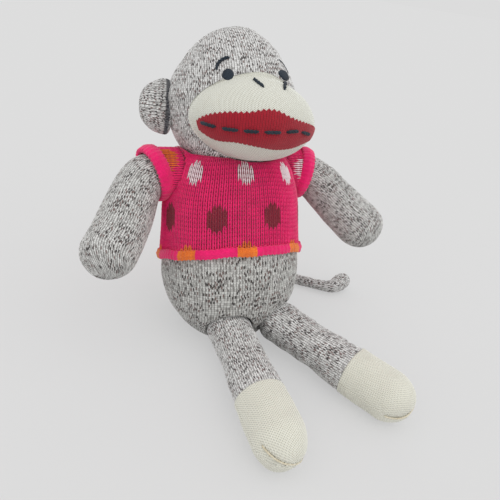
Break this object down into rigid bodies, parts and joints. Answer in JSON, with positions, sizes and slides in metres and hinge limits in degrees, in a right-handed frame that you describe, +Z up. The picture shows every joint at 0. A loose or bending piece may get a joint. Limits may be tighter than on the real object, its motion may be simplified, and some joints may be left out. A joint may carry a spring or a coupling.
{
  "type": "sock monkey doll",
  "caption": "Stuffed knitted sock monkey sitting with its legs out, in a short-sleeved knitted jumper, with padded ears, wide muzzle, stitched face and long tail.",
  "frame": {"origin": "middle of the flat that the doll sits on, on the floor plane", "axes": "+Z up, the doll faces -Y, and its own left is +X"},
  "size_m": [0.3163, 0.3042, 0.28],
  "materials": {
    "marl_knit": "matt wool knit, light grey flecked with dark brown",
    "cream_knit": "matt wool knit",
    "red_knit": "matt wool knit",
    "jumper_knit": "matt wool knit with small diamonds in other colours",
    "dark_thread": "matt embroidery yarn"
  },
  "bodies": {
    "torso": {"body": "marl_knit", "jumper": "jumper_knit"},
    "neck": {"neck": "marl_knit"},
    "head": {"head": "marl_knit", "muzzle": "cream_knit", "mouth": "red_knit", "mouth_stitch_1": "dark_thread", "mouth_stitch_2": "dark_thread", "mouth_stitch_3": "dark_thread", "mouth_stitch_4": "dark_thread", "mouth_stitch_5": "dark_thread", "mouth_stitch_6": "dark_thread", "eye_left": "dark_thread", "eye_right": "dark_thread", "eyebrow_left": "dark_thread", "eyebrow_right": "dark_thread", "nostril_left": "dark_thread", "nostril_right": "dark_thread"},
    "ear_left": {"ear_left": "marl_knit"},
    "ear_right": {"ear_right": "marl_knit"},
    "arm_left": {"arm_left": "marl_knit", "sleeve_left": "jumper_knit"},
    "arm_right": {"arm_right": "marl_knit", "sleeve_right": "jumper_knit"},
    "leg_left": {"leg_left": "marl_knit", "foot_left": "cream_knit", "toe_seam_left": "cream_knit"},
    "leg_right": {"leg_right": "marl_knit", "foot_right": "cream_knit", "toe_seam_right": "cream_knit"},
    "tail": {"tail": "marl_knit"}
  },
  "joints": [
    {"name": "neck_turn", "type": "hinge", "parent": "torso", "child": "neck", "pos_m": [0, 0.04715, 0.15916], "axis": [0, 0.284, 0.9588], "range_deg": [-15, 15]},
    {"name": "neck_nod", "type": "hinge", "parent": "neck", "child": "head", "pos_m": [0, 0.04715, 0.15916], "axis": [1, 0, 0], "range_deg": [-6, 4]},
    {"name": "shoulder_left_swing", "type": "hinge", "parent": "torso", "child": "arm_left", "pos_m": [0.051, 0.04544, 0.15341], "axis": [1, 0, 0], "range_deg": [-120, 70]},
    {"name": "shoulder_right_swing", "type": "hinge", "parent": "torso", "child": "arm_right", "pos_m": [-0.051, 0.04544, 0.15341], "axis": [1, 0, 0], "range_deg": [-120, 70]},
    {"name": "hip_left_swing", "type": "hinge", "parent": "torso", "child": "leg_left", "pos_m": [0.0395, -0.0365, 0.026], "axis": [1, 0, 0], "range_deg": [-15, 75]},
    {"name": "hip_right_swing", "type": "hinge", "parent": "torso", "child": "leg_right", "pos_m": [-0.0135, -0.0365, 0.026], "axis": [1, 0, 0], "range_deg": [-15, 75]},
    {"name": "ear_left_fold", "type": "hinge", "parent": "head", "child": "ear_left", "pos_m": [0.06195, 0.06103, 0.2005], "axis": [0.071, 0.2724, 0.9595], "range_deg": [-20, 20], "stiffness_Nm_per_rad": 0.003},
    {"name": "ear_right_fold", "type": "hinge", "parent": "head", "child": "ear_right", "pos_m": [-0.06365, 0.06081, 0.20986], "axis": [0.071, 0.2724, 0.9595], "range_deg": [-20, 20], "stiffness_Nm_per_rad": 0.003},
    {"name": "tail_swing", "type": "hinge", "parent": "torso", "child": "tail", "pos_m": [0, 0.064, 0.0105], "axis": [0, 0, 1], "range_deg": [-15, 45]}
  ]
}
